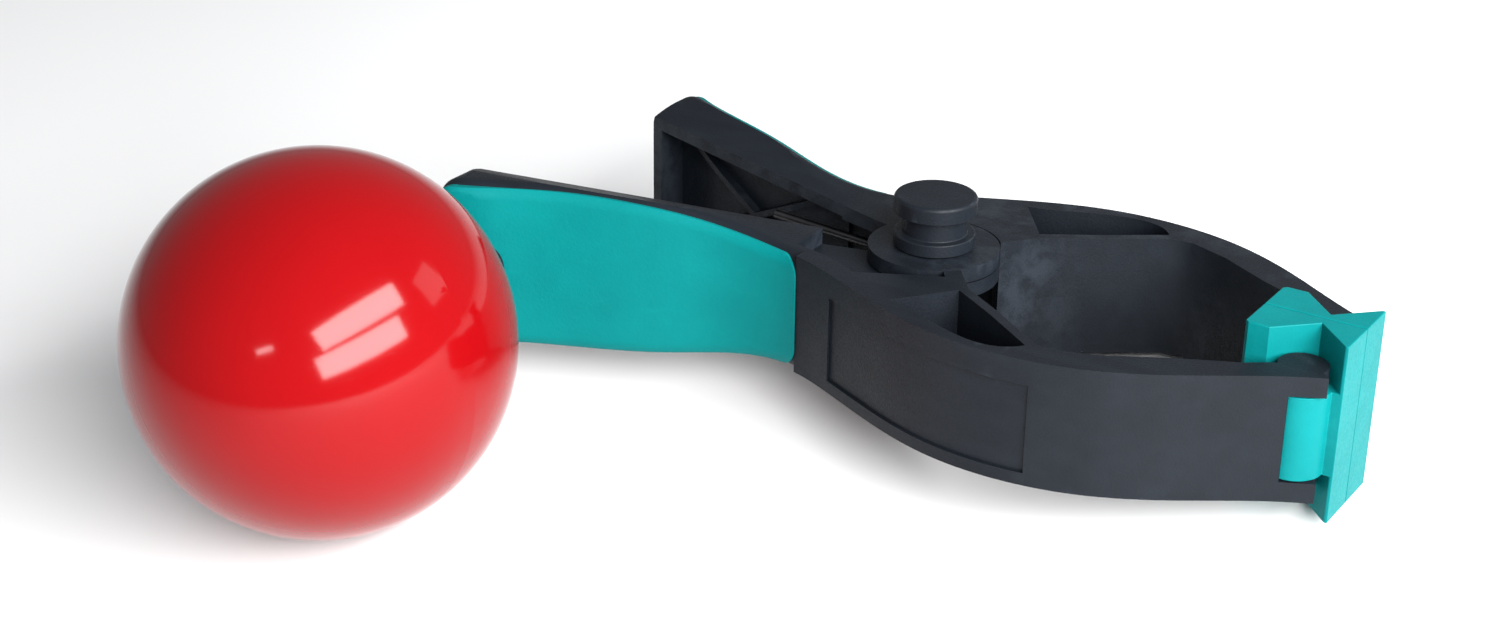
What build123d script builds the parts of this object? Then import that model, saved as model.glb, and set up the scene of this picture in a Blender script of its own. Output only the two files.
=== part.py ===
"""Clamp-on target ball: a sprung two-lever clamp with swivel pads and a ball on one handle.

Frame: millimetres. Origin in the middle of the closed pads, where the clamp holds on. +Z runs
along the pivot pin, +X to the jaw tips, and the lever that carries the ball is on the -Y side.
Each piece is drawn from the pivot axis and moved to the origin when it is written.
"""

import os
from math import acos, atan2, degrees, hypot, pi, radians, tan

from build123d import *

# ---- overall sizes ----
arm_height = 25.0           # height of the jaws along Z
jaw_reach = 88.2            # pivot to the free end of the pads
front_handle_reach = 94.0   # pivot to the end of the handle that carries the ball
back_handle_reach = 83.0
flare_start = 18.0          # the handles get taller from here outwards
flare_end = back_handle_reach - 9.0
end_height = arm_height + 10.6    # handle height from flare_end on
flare_fullness = 0.66       # share of the rise in height reached half way along it
inner_drop = 3.2            # the side plates are this much lower at their inner edges
shoulder = 3.2              # rounding along the outer edges of a handle
end_corner = 5.0            # rounding of a handle's end, seen from the side
ball_diameter = 75.0

# ---- lever plan: half widths are measured from the centre plane ----
neck_x = 18.0
neck_half = 20.8
waist_x = 2 * neck_x
waist_half = 19.6
grip_x = back_handle_reach - 16.0
grip_half = 29.0
end_curl = 0.46             # outward slope of the handle beyond grip_x
bow_x = 33.0
bow_half = 37.2
tip_half = 12.8
throat_reach = 22.0         # the cheeks reach this far down the handle
wall = 4.6                  # outer wall
plate = 2.6                 # side plates of a handle
flange = 2.0                # inner flange along the jaw opening
web = 3.0                   # floor between the two pockets of a jaw
rib_height = 2.2
edge_angle = 15.0           # each handle stops this far short of the centre plane

# ---- pivot ----
pin_radius = 3.0
hub_radius = 13.0
cheek = 3.0
moving_gap = 0.3
running_gap = 0.05
back_cheek_z = arm_height / 2 - cheek               # near face of the outer cheeks
front_cheek_z = back_cheek_z - cheek - moving_gap
cap_radius = 8.2
cap_height = 3.3
cap_bore_depth = 2.2
collar_radius = 6.4
collar_foot_radius = 8.0
collar_foot = 2.6
collar_height = 7.0
lower_cap_height = 3.6
edge_softening = 0.8

# ---- spring ----
wire = 1.8
coil_radius = 7.2
coil_turns = 4
coil_pitch = 2.05
leg_reach = 44.0
sleeve_radius = 5.4

# ---- swivel pads ----
pad_length = 19.6
pad_height = 35.4
pad_half = 9.3              # thickness of one pad
pad_gap = 0.15              # each pad to the centre plane
grip_centre = jaw_reach - pad_length / 2
pad_pin_radius = 2.0
pad_pin_x = jaw_reach - 7.7
pad_pin_y = 9.5
pad_pin_inset = 0.4
knob_radius = 4.6
knuckle_radius = 5.6
knuckle_height = 16.6
groove_floor = 2.2          # thickness of a pad behind its groove

# ---- grips ----
grip_thickness = 2.0
grip_start = 19.0
grip_margin = 0.8
grip_proud = 0.4
grip_corner = 4.0
grip_lip = 0.3              # the rim's depth beyond the panel's

# ---- ball and its fastening ----
ball_wall = 3.0
ball_x = -86.2
ball_standoff = 8.8         # handle surface to the seat on the ball
seat_depth = 1.2
boss_radius = 6.5
screw_radius = 2.0
screw_gap = 0.2
screw_length = 24.0
head_radius = 3.6
head_height = 2.8
head_recess = 1.6
hex_width = 3.0
washer_radius = 4.4
washer_thickness = 0.8
counterbore_gap = 0.6
insert_radius = 3.5
insert_length = 12.0
stem_radius = 7.5
stem_floor = 3.0

# ---- blank label panel on each lever ----
label_depth = 0.6
label_start = -9.0
label_end = 40.0
label_low = 2.5 - arm_height / 2
label_high = arm_height / 2 - 4.9

half_height = arm_height / 2
handle_lean = (grip_half - waist_half) / (grip_x - waist_x)
edge_slope = tan(radians(edge_angle))
far = 200.0


def handle_half_width(reach):
    """Half width of the outer face beyond grip_x, where the handle curls outwards."""
    beyond = (reach - grip_x) / (flare_end - grip_x)
    return grip_half + (reach - grip_x) * (handle_lean + (end_curl - handle_lean) * min(1.0, beyond))


def outline(handle_reach):
    """Points of a lever's outer face in plan, from the handle end to the jaw tip.

    The fractions set how full the curve is between the named sizes.
    """
    middle = (grip_x + handle_reach) / 2
    jaw = pad_pin_x - bow_x
    return [
        (-handle_reach, handle_half_width(handle_reach)),
        (-middle, handle_half_width(middle)),
        (-grip_x, grip_half),
        (-(grip_x + waist_x) / 2, grip_half * 0.5 + waist_half * 0.5 - 0.4),
        (-waist_x, waist_half),
        (-neck_x, neck_half),
        (-neck_x * 0.45, neck_half * 0.75 + bow_half * 0.25),
        (bow_x * 0.15, bow_half * 0.835),
        (bow_x * 0.58, bow_half * 0.967),
        (bow_x, bow_half),
        (bow_x + jaw * 0.33, bow_half * 0.925),
        (bow_x + jaw * 0.63, bow_half * 0.738),
        (bow_x + jaw * 0.92, bow_half * 0.49),
        (jaw_reach - 1.7, tip_half),
    ]


def inset(handle_reach, depth):
    """The outline moved inwards, square to the curve."""
    points = outline(handle_reach)
    moved = []
    for i, (x, y) in enumerate(points):
        ahead = points[min(i + 1, len(points) - 1)]
        behind = points[max(i - 1, 0)]
        dx = ahead[0] - behind[0]
        dy = ahead[1] - behind[1]
        size = hypot(dx, dy)
        moved.append((x + dy / size * depth, y - dx / size * depth))
    return moved


def between(points, low_x, high_x):
    """The points whose x lies in this range."""
    return [p for p in points if low_x < p[0] < high_x]


def region(curve_points, closing_points):
    """Face bounded by a smooth curve, then by straight lines back to its start."""
    corners = [curve_points[-1], *closing_points, curve_points[0]]
    return make_face(Spline(*curve_points) + Polyline(*corners))


def band(handle_reach, outer_depth, inner_depth, low_x, high_x):
    """Face between two depths below a lever's outer face."""
    outer = Spline(*between(inset(handle_reach, outer_depth), low_x, high_x))
    inner = Spline(*between(inset(handle_reach, inner_depth), low_x, high_x))
    return make_face(outer + inner + Line(outer @ 0, inner @ 0) + Line(outer @ 1, inner @ 1))


def upright(face, low, high):
    """The plan face as a solid between two heights."""
    return Pos(0, 0, low) * extrude(face, high - low)


def both_sides(face, low, high):
    """The plan face as a solid above the centre plane and another below it."""
    return upright(face, low, high) + upright(face, -high, -low)


def side_profile(handle_reach, shrink):
    """Side view of a lever, less shrink all round, as a face in XZ."""
    end = -handle_reach + shrink
    low = half_height - shrink
    high = end_height / 2 - shrink
    middle = (-(flare_start + flare_end) / 2, low + (high - low) * flare_fullness)
    rise = Spline((-flare_end, high), middle, (-flare_start, low), tangents=[(1, 0), (1, 0)])
    fall = mirror(rise, about=Plane.XZ)
    jaw_end = Polyline(rise @ 1, (far, low), (far, -low), fall @ 1)
    handle_end = Polyline(fall @ 0, (end, -high), (end, high), rise @ 0)
    face = make_face(rise + jaw_end + fall + handle_end)
    return fillet(face.vertices().sort_by(Axis.X)[:2], end_corner - shrink)


def slope_cut(shrink):
    """What is cut off above a handle's side plate, which is lower towards its inner edge."""
    root = Vector(-flare_start, flare_start * edge_slope, half_height - shrink)
    inner = Vector(-flare_end, flare_end * edge_slope, end_height / 2 - inner_drop - shrink)
    outer = Vector(-flare_end, handle_half_width(flare_end) - shoulder, end_height / 2 - shrink)
    plane = Plane(origin=root, z_dir=(inner - root).cross(root - outer))
    above = plane * Pos(0, 0, far / 2) * Box(2 * far, 2 * far, far)
    return above & Pos(-far / 2 - flare_start, 0, 0) * Box(far, far, far)


def level_slab(handle_reach, shrink):
    """Everything within a lever's side view."""
    return extrude(Plane.XZ * side_profile(handle_reach, shrink), far, both=True)


def flared_slab(handle_reach, shrink):
    """Everything within a lever's height, less shrink all round."""
    upper = slope_cut(shrink)
    return level_slab(handle_reach, shrink) - upper - mirror(upper, about=Plane.XY)


def handle_core(handle_reach, depth):
    """A handle without its hollow, this far below the surface, with rounded shoulders."""
    end = -handle_reach + depth
    curve = between(inset(handle_reach, depth), end, 2 * neck_x)
    curve = [(end, handle_half_width(handle_reach) - depth), *curve]
    face = region(curve, [(curve[-1][0], -far / 4), (end, -far / 4)])
    body = upright(face, -far, far) & level_slab(handle_reach, depth)
    rims = [e for e in body.edges() if e.center().Y > 0 and abs((e % 0.5).Y) < 0.8]
    rims = [e for e in rims if e.center().X < curve[-1][0] - 1.0]
    body = fillet(rims, shoulder - depth) & flared_slab(handle_reach, depth)
    return body & Pos(-far / 2 - grip_start, 0, 0) * Box(far, far, far)


def flange_line(depth):
    """Inner side of a jaw from the pivot to the tip of its pockets, moved outwards by depth.

    The fractions shape it as a shallow arc beside the bow of the outer face.
    """
    line = [
        (bow_x * 0.315, bow_half * 0.215),
        (bow_x * 0.48, bow_half * 0.4),
        (bow_x * 0.78, bow_half * 0.57),
        (bow_x * 1.13, bow_half * 0.79),
    ]
    return [(x - depth * 0.55, y + depth * 0.83) for x, y in line]


def lever_blank(handle_reach):
    """A lever as one solid, before it is hollowed."""
    jaw = pad_pin_x - bow_x
    closing = [
        (pad_pin_x + knob_radius, pad_pin_y + 1.8),
        (pad_pin_x, pad_pin_y),
        (pad_pin_x - knob_radius, pad_pin_y + 2.5),
        (pad_pin_x - 2 * knob_radius, pad_pin_y + 5.8),
        (bow_x + jaw * 0.58, bow_half * 0.551),
        (bow_x + jaw * 0.36, bow_half * 0.715),
        (bow_x * 1.27, bow_half * 0.8),
        *reversed(flange_line(0)),
        (0, 0),
        (-handle_reach, handle_reach * edge_slope),
    ]
    face = region(outline(handle_reach), closing)
    knob = Pos(pad_pin_x, pad_pin_y) * Circle(knob_radius)
    body = upright(face, -far, far) & flared_slab(handle_reach, 0)
    body &= Pos(far / 2 - grip_start, 0, 0) * Box(far, far, far)
    inside = Polygon((0, 0), (-far, far * edge_slope), (-far, -far), (0, -far), align=None)
    body += handle_core(handle_reach, 0) - upright(inside, -far, far)
    return body + upright(knob, -half_height, half_height)


def channel(handle_reach):
    """The hollow inside a handle, open towards the other handle."""
    end = -handle_reach + plate
    curve = between(inset(handle_reach, wall), end + plate, 0)
    face = region([(end, curve[0][1] + plate * end_curl), *curve], [(curve[-1][0], -far / 10), (end, -far / 10)])
    window = Pos(-far / 2 - throat_reach - cheek, 0, 0) * Box(far, far, far)
    return upright(face, -far, far) & flared_slab(handle_reach, plate) & window


def throat(handle_reach, start):
    """Plan of the hollow round the pivot, between the outer wall and the hub."""
    curve = between(inset(handle_reach, wall), -start, bow_x * 0.12)
    first = (-start, waist_half * 0.5 + neck_half * 0.5 - wall)
    return region([first, *curve], [(bow_x * 0.29, bow_half * 0.34), (0, 0), (-start, -far / 10)])


def pockets(handle_reach):
    """The pointed pockets between a jaw's outer wall and its inner flange."""
    curve = between(inset(handle_reach, wall * 0.7), bow_x * 0.12, bow_x * 1.1)
    foot, middle, tip = flange_line(flange)[1:]
    return both_sides(region([*curve, tip], [middle, foot]), web / 2, far / 4)


def ribs(handle_reach):
    """Two low crossing ribs on the inside of a handle's outer wall."""
    start = throat_reach + 2 * cheek
    length = back_handle_reach - end_corner - start
    lean = degrees(atan2(end_height - 4 * plate, length))
    middle = Pos(-start - length / 2, 0, 0)
    cross = Rot(0, lean, 0) * Box(2 * length, far, plate / 2)
    cross += Rot(0, -lean, 0) * Box(2 * length, far, plate / 2)
    face = band(handle_reach, wall / 2, wall + rib_height, -far, 0)
    window = Box(length, far, far)
    return middle * (cross & window) & upright(face, -far, far) & flared_slab(handle_reach, plate / 2)


def grip_blank(handle_reach):
    """Soft panel let into a handle's outer face and wrapped over its shoulders."""
    frame = side_profile(handle_reach, grip_margin)
    window = Pos(-far / 2 - grip_start, 0) * Rectangle(far, far)
    window = fillet((frame & window).vertices().sort_by(Axis.X)[-2:], grip_corner)
    skin = handle_core(handle_reach, -grip_proud) - handle_core(handle_reach, grip_thickness)
    outside = upright(band(handle_reach, -2 * grip_proud, grip_thickness + grip_lip, -far, 0), -far, far)
    return skin & outside & extrude(Plane.XZ * window, far, both=True)


def label_panel(handle_reach):
    """Shallow blank recess in a lever's outer face beside the pivot."""
    face = band(handle_reach, -1.0, label_depth, -neck_x - 1.0, pad_pin_x * 0.8)
    window = Box(label_end - label_start, far, label_high - label_low)
    middle = Pos((label_start + label_end) / 2, 0, (label_high + label_low) / 2)
    return upright(face, -far, far) & middle * window


def fork_slot():
    """Room in a jaw tip for the pad's knuckle."""
    reach = knuckle_radius + moving_gap
    height = knuckle_height + 2 * moving_gap
    pin = Pos(pad_pin_x, pad_pin_y, 0)
    slot = Cylinder(reach, height)
    slot += Pos(far / 20, 0, 0) * Box(far / 10, far / 10, height)
    slot += Pos(0, -far / 20, 0) * Box(2 * reach, far / 10, height)
    return pin * slot


def pad_pin_blank():
    """Pin through a jaw's fork."""
    return Pos(pad_pin_x, pad_pin_y, 0) * Cylinder(pad_pin_radius, arm_height - 2 * pad_pin_inset)


def lever(handle_reach, cheek_z, bore):
    """One lever on the +Y side, with its seat for the grip."""
    body = lever_blank(handle_reach)
    body -= Cylinder(hub_radius + moving_gap, far)
    body -= both_sides(throat(handle_reach, throat_reach + 2 * cheek), 0, cheek_z)
    if cheek_z + cheek < half_height - moving_gap:
        body -= both_sides(throat(handle_reach, throat_reach), cheek_z + cheek, far / 4)
    body -= channel(handle_reach)
    body += ribs(handle_reach)
    body -= pockets(handle_reach)
    body -= label_panel(handle_reach)
    body -= fork_slot()
    body -= pad_pin_blank()
    hub = Circle(hub_radius) + Polygon(
        (0, 0),
        (0, hub_radius + 2.0),
        (-hub_radius - 2.0, hub_radius + 2.0),
        (-hub_radius - 2.0, (hub_radius + 2.0) * edge_slope),
        align=None,
    )
    body += both_sides(hub, cheek_z, cheek_z + cheek)
    body -= Cylinder(bore, far)
    return body - grip_blank(handle_reach)


def to_front(body):
    """The same piece on the -Y side."""
    return mirror(body, about=Plane.XZ)


# ---- the ball's fastening, all on one axis along Y and built on the +Y side ----
ball_axis_reach = -ball_x
seat_y = handle_half_width(ball_axis_reach) + ball_standoff
ball_y = seat_y + ball_diameter / 2 - seat_depth
washer_y = handle_half_width(ball_axis_reach) - wall * 0.35
head_y = washer_y - washer_thickness


def along_y(radius, low, high, x=ball_x):
    """Cylinder along Y between two values of y."""
    return Pos(x, (low + high) / 2, 0) * Rot(90, 0, 0) * Cylinder(radius, high - low)


def front_lever():
    """Lever that carries the ball, with a boss for it near the handle's end."""
    body = lever(front_handle_reach, front_cheek_z, pin_radius)
    body += along_y(boss_radius, washer_y - wall, seat_y)
    body -= along_y(washer_radius + counterbore_gap, washer_y - 3 * wall, washer_y)
    body -= along_y(screw_radius + screw_gap, washer_y - wall, seat_y + wall)
    return to_front(body)


def back_lever():
    """The other lever, whose cheeks lie outside the first one's."""
    return lever(back_handle_reach, back_cheek_z, pin_radius + running_gap)


def front_grip():
    """Soft panel on the ball's handle, with a hole for the boss."""
    return to_front(grip_blank(front_handle_reach) - along_y(boss_radius, 0, far))


def back_grip():
    """Soft panel on the other handle."""
    return grip_blank(back_handle_reach)


def pad():
    """Swivel pad on the +Y side: a thick plate with an outer groove and a central knuckle."""
    left = jaw_reach - pad_length
    depth = pad_half - groove_floor
    plan = Polygon(
        (left, pad_gap),
        (jaw_reach, pad_gap),
        (jaw_reach, pad_half),
        (min(pad_pin_x + depth, jaw_reach - 0.4), pad_half),
        (pad_pin_x, groove_floor),
        (pad_pin_x - depth, pad_half),
        (left + edge_softening, pad_half),
        (left, pad_half - edge_softening),
        align=None,
    )
    body = upright(plan, -pad_height / 2, pad_height / 2)
    knuckle = Pos(pad_pin_x, pad_pin_y, 0) * Cylinder(knuckle_radius, knuckle_height)
    root = Pos(pad_pin_x, (pad_gap + pad_pin_y) / 2, 0)
    knuckle += root * Box(2 * knuckle_radius, pad_pin_y - pad_gap, knuckle_height)
    nose = Pos((pad_pin_x + jaw_reach) / 2, (pad_gap + pad_half) / 2, 0)
    knuckle += nose * Box(jaw_reach - pad_pin_x, pad_half - pad_gap, knuckle_height)
    body += knuckle
    return body - Pos(pad_pin_x, pad_pin_y, 0) * Cylinder(pad_pin_radius + running_gap, pad_height)


def pivot_top():
    """Height of the pivot pin's upper end."""
    return half_height + moving_gap + collar_height + cap_bore_depth


def pivot_bottom():
    """Height of the pivot pin's lower end."""
    return -half_height - moving_gap - lower_cap_height + 1.0


def pivot_pin():
    """Steel axle through all four cheeks."""
    length = pivot_top() - pivot_bottom()
    return Pos(0, 0, (pivot_top() + pivot_bottom()) / 2) * Cylinder(pin_radius, length)


def pivot_collar():
    """Stepped collar between the upper cheek and the cap."""
    base = half_height + moving_gap
    body = Pos(0, 0, base + collar_foot / 2) * Cylinder(collar_foot_radius, collar_foot)
    body += Pos(0, 0, base + collar_height / 2) * Cylinder(collar_radius, collar_height)
    return body - Cylinder(pin_radius, far)


def pivot_cap():
    """Round cap pressed on the pin's upper end."""
    base = half_height + moving_gap + collar_height
    body = Pos(0, 0, base + cap_height / 2) * Cylinder(cap_radius, cap_height)
    body = fillet(body.edges().filter_by(GeomType.CIRCLE).sort_by(Axis.Z)[-1:], edge_softening)
    return body - pivot_pin()


def pivot_retainer():
    """Low cap pressed on the pin's lower end."""
    top = -half_height - moving_gap
    body = Pos(0, 0, top - lower_cap_height / 2) * Cylinder(cap_radius, lower_cap_height)
    body = fillet(body.edges().filter_by(GeomType.CIRCLE).sort_by(Axis.Z)[:1], edge_softening)
    return body - pivot_pin()


def spring_sleeve():
    """Tube on the pin that keeps the spring's coil central."""
    height = 2 * (front_cheek_z - moving_gap)
    return Cylinder(sleeve_radius, height) - Cylinder(pin_radius, height)


def torsion_spring():
    """Coil round the sleeve with one leg along each handle's inner wall."""
    leg_y = waist_half - wall - rib_height - wire / 2 - moving_gap
    away = atan2(leg_y, -leg_reach)
    lift = away - acos(coil_radius / hypot(leg_y, leg_reach))
    top = (coil_turns + lift / pi) * coil_pitch / 2
    helix = Rot(0, 0, -degrees(lift)) * Pos(0, 0, -top) * Helix(coil_pitch, 2 * top, coil_radius)
    front_leg = Line((-leg_reach, -leg_y, -top), helix @ 0)
    back_leg = Line(helix @ 1, (-leg_reach, leg_y, top))
    body = Part() + wire_along(helix, True)
    for leg in (front_leg, back_leg):
        body += wire_along(leg, False)
    return body


def wire_along(path, turning):
    """Round spring wire along a path."""
    return sweep(Plane(path @ 0, z_dir=path % 0) * Circle(wire / 2), path=path, is_frenet=turning)


def ball():
    """Hollow glossy ball with a solid stem inside for the threaded insert."""
    radius = ball_diameter / 2
    body = Sphere(radius) - Sphere(radius - ball_wall)
    stem_depth = seat_depth + insert_length + stem_floor + wall
    stem = Pos(0, -radius + stem_depth / 2, 0) * Rot(90, 0, 0) * Cylinder(stem_radius, stem_depth)
    body += stem & Sphere(radius)
    body = Pos(ball_x, ball_y, 0) * body
    body -= along_y(boss_radius + screw_gap, seat_y - wall, seat_y)
    body -= along_y(insert_radius, seat_y, seat_y + insert_length)
    body -= along_y(screw_radius + screw_gap, seat_y, seat_y + insert_length + wall)
    return to_front(body)


def ball_insert():
    """Threaded brass insert in the ball's stem."""
    body = along_y(insert_radius, seat_y, seat_y + insert_length)
    return to_front(body - along_y(screw_radius, 0, far))


def ball_screw():
    """Hex socket screw from inside the handle into the ball."""
    body = along_y(screw_radius, head_y, head_y + screw_length)
    body += along_y(head_radius, head_y - head_height, head_y)
    socket = Plane(origin=(ball_x, head_y - head_height, 0), z_dir=(0, 1, 0)) * RegularPolygon(hex_width / 2, 6)
    return to_front(body - extrude(socket, head_recess))


def ball_washer():
    """Flat washer under the screw's head."""
    body = along_y(washer_radius, head_y, washer_y)
    return to_front(body - along_y(screw_radius, 0, far))


def write(name, body):
    """One STEP file for one node."""
    export_step(Pos(-grip_centre, 0, 0) * body, f"parts/{name}.step")


def main():
    os.makedirs("parts", exist_ok=True)
    write("front_lever", front_lever())
    write("back_lever", back_lever())
    write("front_grip", front_grip())
    write("back_grip", back_grip())
    write("front_pad", to_front(pad()))
    write("back_pad", pad())
    write("front_pad_pin", to_front(pad_pin_blank()))
    write("back_pad_pin", pad_pin_blank())
    write("pivot_pin", pivot_pin())
    write("pivot_collar", pivot_collar())
    write("pivot_cap", pivot_cap())
    write("pivot_retainer", pivot_retainer())
    write("spring_sleeve", spring_sleeve())
    write("torsion_spring", torsion_spring())
    write("ball", ball())
    write("ball_insert", ball_insert())
    write("ball_screw", ball_screw())
    write("ball_washer", ball_washer())


main()
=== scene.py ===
"""Studio scene of a clamp-on target ball. Everything is in metres, in the CAD frame."""

import math

import bmesh
import bpy
from mathutils import Matrix, Vector


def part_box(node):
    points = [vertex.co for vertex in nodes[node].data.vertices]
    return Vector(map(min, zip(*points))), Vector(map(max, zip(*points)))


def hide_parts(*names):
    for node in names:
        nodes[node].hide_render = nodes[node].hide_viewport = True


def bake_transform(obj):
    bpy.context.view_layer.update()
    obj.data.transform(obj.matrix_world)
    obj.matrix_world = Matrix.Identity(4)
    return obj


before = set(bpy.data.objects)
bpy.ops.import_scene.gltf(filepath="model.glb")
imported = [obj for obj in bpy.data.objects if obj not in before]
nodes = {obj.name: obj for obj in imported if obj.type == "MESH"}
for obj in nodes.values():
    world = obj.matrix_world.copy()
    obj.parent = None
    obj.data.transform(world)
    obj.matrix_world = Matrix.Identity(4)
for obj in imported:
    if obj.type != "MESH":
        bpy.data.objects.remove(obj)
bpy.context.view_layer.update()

MM = 0.001

lever_edge = 0.5 * MM           # radius that softens each kind of moulding's edges
pad_edge = 0.45 * MM
grip_edge = 0.6 * MM
small_edge = 0.25 * MM
weld_distance = 0.004 * MM
edge_angle = math.radians(38)   # edges sharper than this are softened

floor_half = 6.0
world_strength = 0.34

camera_azimuth = math.radians(32.82)
camera_elevation = math.radians(24.90)
camera_roll = math.radians(0.87)
camera_at = Vector((0.13392, -0.39536, 0.20289))
camera_lens = 59.40             # millimetres, on a sensor 36 mm wide

key_size = (0.80, 0.19)         # width and height of the two long lights
key_power = 12.0
key_roll = math.radians(14)
kicker_roll = math.radians(25)


# ---------------------------------------------------------------- node helpers
def material(name):
    """A new material with its nodes, its links and its main shader."""
    made = bpy.data.materials.new(name)
    made.use_nodes = True
    tree = made.node_tree
    return made, tree, tree.nodes["Principled BSDF"]


def add(tree, kind, **sockets):
    """A node with some of its inputs set or linked."""
    node = tree.nodes.new(kind)
    for key, value in sockets.items():
        socket = node.inputs[key.replace("_", " ")]
        if isinstance(value, bpy.types.NodeSocket):
            tree.links.new(value, socket)
        else:
            socket.default_value = value
    return node


def place(tree, scale=(1, 1, 1)):
    """Object coordinates, stretched."""
    coordinates = tree.nodes.new("ShaderNodeTexCoord")
    mapping = add(tree, "ShaderNodeMapping", Vector=coordinates.outputs["Object"], Scale=scale)
    return mapping.outputs["Vector"]


def noise(tree, vector, scale, detail=3.0, roughness=0.5):
    """Fractal noise between 0 and 1."""
    node = add(tree, "ShaderNodeTexNoise", Vector=vector, Scale=scale, Detail=detail, Roughness=roughness)
    return node.outputs["Fac"]


def ramp(tree, value, stops):
    """A colour ramp through (position, grey or colour) stops."""
    node = add(tree, "ShaderNodeValToRGB", Fac=value)
    elements = node.color_ramp.elements
    while len(elements) < len(stops):
        elements.new(0.5)
    for element, (at, colour) in zip(elements, stops):
        element.position = at
        if isinstance(colour, (int, float)):
            colour = (colour, colour, colour)
        element.color = (*colour, 1.0)
    return node.outputs["Color"]


def mix(tree, factor, first, second, blend="MIX"):
    """Two colours mixed."""
    node = tree.nodes.new("ShaderNodeMix")
    node.data_type = "RGBA"
    node.blend_type = blend
    for socket, value in ((node.inputs[0], factor), (node.inputs[6], first), (node.inputs[7], second)):
        if isinstance(value, bpy.types.NodeSocket):
            tree.links.new(value, socket)
        elif isinstance(value, tuple):
            socket.default_value = (*value, 1.0)
        else:
            socket.default_value = value
    return node.outputs[2]


def calc(tree, kind, first, second=0.0):
    """One Math node."""
    node = tree.nodes.new("ShaderNodeMath")
    node.operation = kind
    for socket, value in zip(node.inputs, (first, second)):
        if isinstance(value, bpy.types.NodeSocket):
            tree.links.new(value, socket)
        else:
            socket.default_value = value
    return node.outputs[0]


def bump(tree, height, distance, strength=1.0, normal=None):
    """A bump of this depth in metres."""
    node = add(tree, "ShaderNodeBump", Height=height, Distance=distance, Strength=strength)
    if normal is not None:
        tree.links.new(normal, node.inputs["Normal"])
    return node.outputs["Normal"]


# ---------------------------------------------------------------- materials
def black_plastic():
    """Charcoal moulded plastic: fine spark texture, faint flow marks, paler rubbed edges."""
    made, tree, shader = material("black_plastic")
    vector = place(tree)
    cloud = noise(tree, vector, 38.0, 4.0, 0.6)
    flow = noise(tree, place(tree, (14, 90, 60)), 3.0, 3.0)
    base = ramp(tree, cloud, [(0.30, (0.0048, 0.0064, 0.0095)), (0.72, (0.0075, 0.0100, 0.0140))])
    base = mix(tree, ramp(tree, flow, [(0.45, 0.0), (0.75, 0.35)]), base, (0.011, 0.0145, 0.020))
    geometry = tree.nodes.new("ShaderNodeNewGeometry")
    edge = ramp(tree, geometry.outputs["Pointiness"], [(0.52, 0.0), (0.60, 1.0)])
    patchy = ramp(tree, noise(tree, vector, 160.0, 5.0, 0.7), [(0.42, 0.0), (0.62, 1.0)])
    worn = calc(tree, "MULTIPLY", edge, patchy)
    base = mix(tree, calc(tree, "MULTIPLY", worn, 0.5), base, (0.024, 0.030, 0.039))
    tree.links.new(base, shader.inputs["Base Color"])
    grain = noise(tree, vector, 2300.0, 2.0)
    tree.links.new(ramp(tree, grain, [(0.30, 0.40), (0.70, 0.56)]), shader.inputs["Roughness"])
    normal = bump(tree, grain, 0.00006, 0.6)
    normal = bump(tree, cloud, 0.0004, 0.25, normal)
    tree.links.new(normal, shader.inputs["Normal"])
    shader.inputs["Specular IOR Level"].default_value = 0.16
    return made


def teal_rubber():
    """Soft overmoulded grip: matt, with a velvety fine texture and slight handling marks."""
    made, tree, shader = material("teal_rubber")
    vector = place(tree)
    cloud = noise(tree, vector, 55.0, 4.0, 0.55)
    base = ramp(tree, cloud, [(0.28, (0.0002, 0.130, 0.132)), (0.75, (0.0004, 0.158, 0.158))])
    rub = ramp(tree, noise(tree, place(tree, (30, 30, 110)), 4.0, 5.0, 0.7), [(0.58, 0.0), (0.78, 0.30)])
    base = mix(tree, rub, base, (0.002, 0.180, 0.178))
    tree.links.new(base, shader.inputs["Base Color"])
    grain = noise(tree, vector, 1700.0, 3.0, 0.6)
    tree.links.new(ramp(tree, grain, [(0.30, 0.46), (0.75, 0.66)]), shader.inputs["Roughness"])
    tree.links.new(bump(tree, grain, 0.00008, 0.55), shader.inputs["Normal"])
    shader.inputs["Specular IOR Level"].default_value = 0.08
    return made


def teal_plastic():
    """Satin moulded pad plastic, with faint mottling and scuffed corners."""
    made, tree, shader = material("teal_plastic")
    vector = place(tree)
    cloud = noise(tree, vector, 90.0, 4.0, 0.6)
    base = ramp(tree, cloud, [(0.30, (0.0002, 0.138, 0.142)), (0.72, (0.0005, 0.164, 0.168))])
    geometry = tree.nodes.new("ShaderNodeNewGeometry")
    edge = ramp(tree, geometry.outputs["Pointiness"], [(0.52, 0.0), (0.60, 1.0)])
    patchy = ramp(tree, noise(tree, vector, 240.0, 5.0, 0.7), [(0.45, 0.0), (0.62, 1.0)])
    worn = calc(tree, "MULTIPLY", calc(tree, "MULTIPLY", edge, patchy), 0.4)
    base = mix(tree, worn, base, (0.006, 0.205, 0.210))
    tree.links.new(base, shader.inputs["Base Color"])
    grain = noise(tree, vector, 2100.0, 2.0)
    tree.links.new(ramp(tree, grain, [(0.30, 0.42), (0.75, 0.58)]), shader.inputs["Roughness"])
    tree.links.new(bump(tree, grain, 0.00005, 0.5), shader.inputs["Normal"])
    shader.inputs["Specular IOR Level"].default_value = 0.10
    return made


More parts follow.
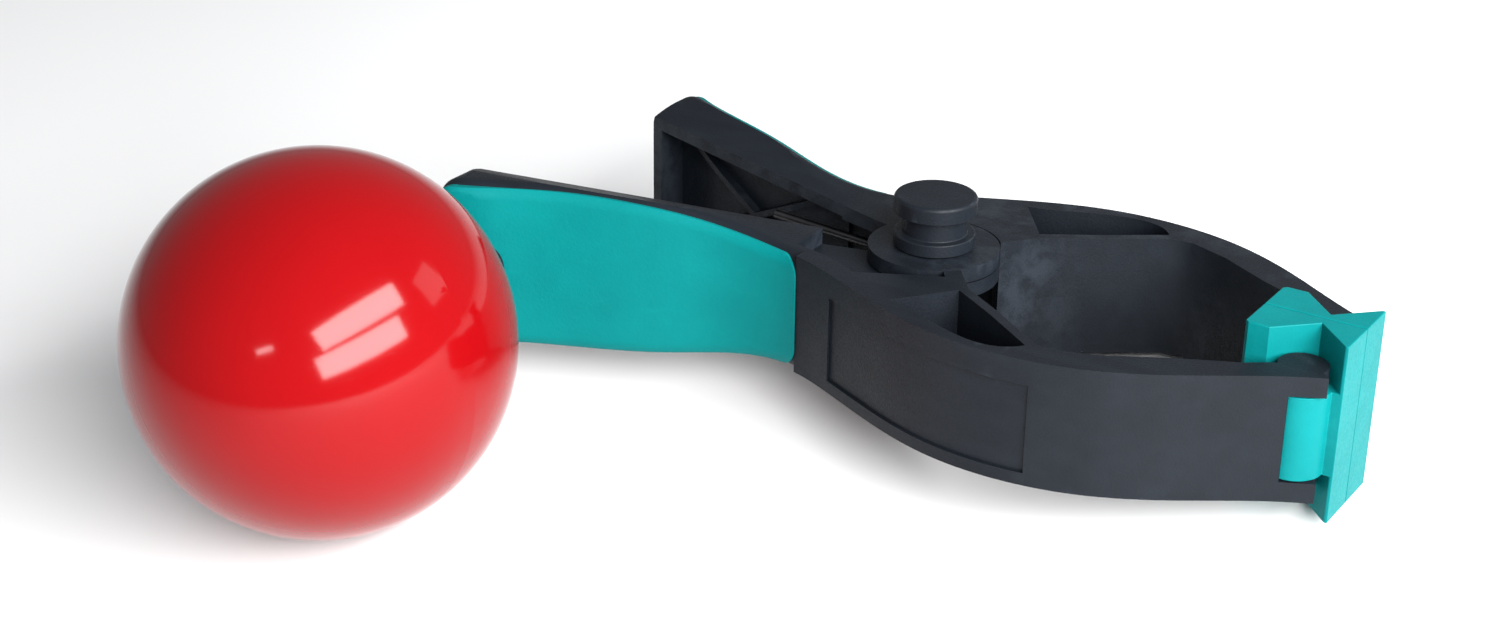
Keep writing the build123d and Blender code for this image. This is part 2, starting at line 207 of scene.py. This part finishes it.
def gloss_red():
    """Polished red ball: clear gloss over colour, with very fine scuffs and a hint of ripple."""
    made, tree, shader = material("gloss_red")
    vector = place(tree)
    cloud = noise(tree, vector, 16.0, 3.0, 0.5)
    base = ramp(tree, cloud, [(0.30, (0.190, 0.0012, 0.0022)), (0.75, (0.220, 0.0020, 0.0032))])
    tree.links.new(base, shader.inputs["Base Color"])
    scuff = ramp(tree, noise(tree, place(tree, (1, 1, 7)), 210.0, 6.0, 0.75), [(0.60, 0.0), (0.74, 1.0)])
    tree.links.new(ramp(tree, scuff, [(0.0, 0.10), (1.0, 0.19)]), shader.inputs["Roughness"])
    ripple = noise(tree, vector, 120.0, 2.0)
    tree.links.new(bump(tree, ripple, 0.00004, 0.35), shader.inputs["Normal"])
    shader.inputs["Specular IOR Level"].default_value = 0.22
    return made


def natural_nylon():
    """Uncoloured nylon bush."""
    made, tree, shader = material("natural_nylon")
    vector = place(tree)
    cloud = noise(tree, vector, 200.0, 4.0)
    base = ramp(tree, cloud, [(0.3, (0.62, 0.60, 0.53)), (0.7, (0.74, 0.72, 0.66))])
    tree.links.new(base, shader.inputs["Base Color"])
    grain = noise(tree, vector, 1500.0)
    tree.links.new(ramp(tree, grain, [(0.3, 0.38), (0.7, 0.52)]), shader.inputs["Roughness"])
    shader.inputs["Subsurface Weight"].default_value = 0.1
    shader.inputs["Subsurface Scale"].default_value = 0.001
    return made


def steel(name, colour, low, high, stretch):
    """Metal with fine drawn or turned lines along one way."""
    made, tree, shader = material(name)
    lines = noise(tree, place(tree, stretch), 900.0, 4.0, 0.7)
    stain = noise(tree, place(tree), 120.0, 4.0, 0.6)
    dark = tuple(c * 0.72 for c in colour)
    tree.links.new(ramp(tree, stain, [(0.3, dark), (0.7, colour)]), shader.inputs["Base Color"])
    tree.links.new(ramp(tree, lines, [(0.3, low), (0.7, high)]), shader.inputs["Roughness"])
    tree.links.new(bump(tree, lines, 0.00002, 0.5), shader.inputs["Normal"])
    shader.inputs["Metallic"].default_value = 1.0
    return made


black = black_plastic()
rubber = teal_rubber()
teal = teal_plastic()
red = gloss_red()
nylon = natural_nylon()
zinc = steel("zinc_steel", (0.62, 0.63, 0.66), 0.22, 0.38, (1, 1, 0.05))
spring_wire = steel("spring_wire", (0.10, 0.10, 0.105), 0.30, 0.46, (1, 1, 1))
brass = steel("turned_brass", (0.80, 0.58, 0.27), 0.20, 0.34, (1, 0.05, 1))

finishes = {
    "front_lever": black,
    "back_lever": black,
    "front_grip": rubber,
    "back_grip": rubber,
    "front_pad": teal,
    "back_pad": teal,
    "front_pad_pin": zinc,
    "back_pad_pin": zinc,
    "pivot_pin": zinc,
    "pivot_collar": black,
    "pivot_cap": black,
    "pivot_retainer": black,
    "spring_sleeve": nylon,
    "torsion_spring": spring_wire,
    "ball": red,
    "ball_insert": brass,
    "ball_screw": zinc,
    "ball_washer": zinc,
}
for name, finish in finishes.items():
    piece = nodes[name]
    if not piece.data.materials:
        piece.data.materials.append(finish)
    for index in range(len(piece.data.materials)):
        piece.data.materials[index] = finish


# ---------------------------------------------------------------- softened edges
def soften(name, width):
    """Rounds a CAD node's sharp edges with modifiers only."""
    piece = nodes[name]
    for polygon in piece.data.polygons:
        polygon.use_smooth = True
    weld = piece.modifiers.new("weld", "WELD")
    weld.merge_threshold = weld_distance
    bevel = piece.modifiers.new("bevel", "BEVEL")
    bevel.width = width
    bevel.segments = 3
    bevel.limit_method = "ANGLE"
    bevel.angle_limit = edge_angle
    bevel.use_clamp_overlap = True
    bevel.harden_normals = False
    weighted = piece.modifiers.new("weighted", "WEIGHTED_NORMAL")
    weighted.keep_sharp = False
    weighted.weight = 80


for name in ("front_lever", "back_lever"):
    soften(name, lever_edge)
for name in ("front_pad", "back_pad"):
    soften(name, pad_edge)
for name in ("front_grip", "back_grip"):
    soften(name, grip_edge)
for name in ("pivot_cap", "pivot_collar", "pivot_retainer", "ball_screw", "ball_washer"):
    soften(name, small_edge)


# ---------------------------------------------------------------- spring copied as its own mesh
def twisting_spring():
    """The torsion spring as a mesh object of its own, copied from the CAD node, which is then hidden."""
    source = nodes["torsion_spring"]
    mesh = source.data.copy()
    mesh.transform(source.matrix_world)
    spring = bpy.data.objects.new("wound_spring", mesh)
    bpy.context.scene.collection.objects.link(spring)
    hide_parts("torsion_spring")
    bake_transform(spring)


twisting_spring()


# ---------------------------------------------------------------- floor, world, lights, camera
def lowest(names, normal):
    """The point of these nodes that lies furthest against the normal."""
    points = []
    for name in names:
        piece = nodes[name]
        points += [piece.matrix_world @ vertex.co for vertex in piece.data.vertices]
    return min(points, key=lambda point: point.dot(normal))


def resting_plane():
    """Point and normal of the floor that the ball, the pads and the far handle all touch."""
    normal = Vector((0, 0, 1))
    for _ in range(8):
        ball_foot = lowest(["ball"], normal)
        pad_foot = lowest(["front_pad", "back_pad"], normal)
        handle_foot = lowest(["back_lever"], normal)
        normal = (pad_foot - ball_foot).cross(handle_foot - ball_foot).normalized()
        if normal.z < 0:
            normal.negate()
    return ball_foot, normal


def floor():
    """Plain pale floor, large enough that no view sees its edge."""
    point, normal = resting_plane()
    mesh = bpy.data.meshes.new("floor")
    build = bmesh.new()
    bmesh.ops.create_grid(build, x_segments=8, y_segments=8, size=floor_half)
    build.to_mesh(mesh)
    build.free()
    made = bpy.data.objects.new("floor", mesh)
    bpy.context.scene.collection.objects.link(made)
    tilt = Vector((0, 0, 1)).rotation_difference(normal).to_matrix().to_4x4()
    made.matrix_world = Matrix.Translation(point) @ tilt
    paint, tree, shader = material("floor_paper")
    cloud = noise(tree, place(tree), 3.0, 3.0)
    tree.links.new(ramp(tree, cloud, [(0.3, 0.74), (0.7, 0.76)]), shader.inputs["Base Color"])
    shader.inputs["Roughness"].default_value = 0.9
    shader.inputs["Specular IOR Level"].default_value = 0.1
    mesh.materials.append(paint)


def softbox(name, place_at, aim, width, height, power, roll=0.0):
    """A rectangular area light that faces a point."""
    data = bpy.data.lights.new(name, "AREA")
    data.shape = "RECTANGLE"
    data.size = width
    data.size_y = height
    data.energy = power
    light = bpy.data.objects.new(name, data)
    bpy.context.scene.collection.objects.link(light)
    look = (Vector(aim) - Vector(place_at)).to_track_quat("-Z", "Y")
    facing = look.to_matrix().to_4x4() @ Matrix.Rotation(roll, 4, "Z")
    light.matrix_world = Matrix.Translation(place_at) @ facing


floor()

world = bpy.data.worlds.new("studio")
bpy.context.scene.world = world
world.use_nodes = True
sky = world.node_tree.nodes["Background"]
sky.inputs["Color"].default_value = (0.95, 0.97, 1.0, 1.0)
sky.inputs["Strength"].default_value = world_strength

turn = Matrix.Rotation(camera_azimuth, 4, "Z")
turn = turn @ Matrix.Rotation(math.pi / 2 - camera_elevation, 4, "X")
turn = turn @ Matrix.Rotation(camera_roll, 4, "Z")
camera_data = bpy.data.cameras.new("camera")
camera_data.sensor_width = 36.0
camera_data.sensor_fit = "HORIZONTAL"
camera_data.lens = camera_lens
camera_data.clip_start = 0.01
camera_data.clip_end = 20.0
camera = bpy.data.objects.new("camera", camera_data)
bpy.context.scene.collection.objects.link(camera)
camera.matrix_world = Matrix.Translation(camera_at) @ turn
bpy.context.scene.camera = camera


def seen(right, up, back):
    """A point given along the camera's own axes from the ball, in metres."""
    low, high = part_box("ball")
    centre = (low + high) / 2
    return centre + turn.to_3x3() @ Vector((right, up, back))


ball_centre = seen(0, 0, 0)
softbox("key_upper", seen(0.40, 0.20, 0.66), ball_centre, *key_size, key_power, roll=key_roll)
softbox("key_lower", seen(0.44, -0.04, 0.68), ball_centre, *key_size, key_power, roll=key_roll)
softbox("kicker", seen(-0.34, -0.06, 0.90), ball_centre, 0.16, 0.05, 0.5, roll=kicker_roll)
softbox("side", seen(0.95, 0.50, 0.14), ball_centre, 0.30, 0.30, 0.8)

view = bpy.context.scene.view_settings
view.view_transform = "Standard"
view.look = "None"
view.exposure = 0.0
view.gamma = 1.0
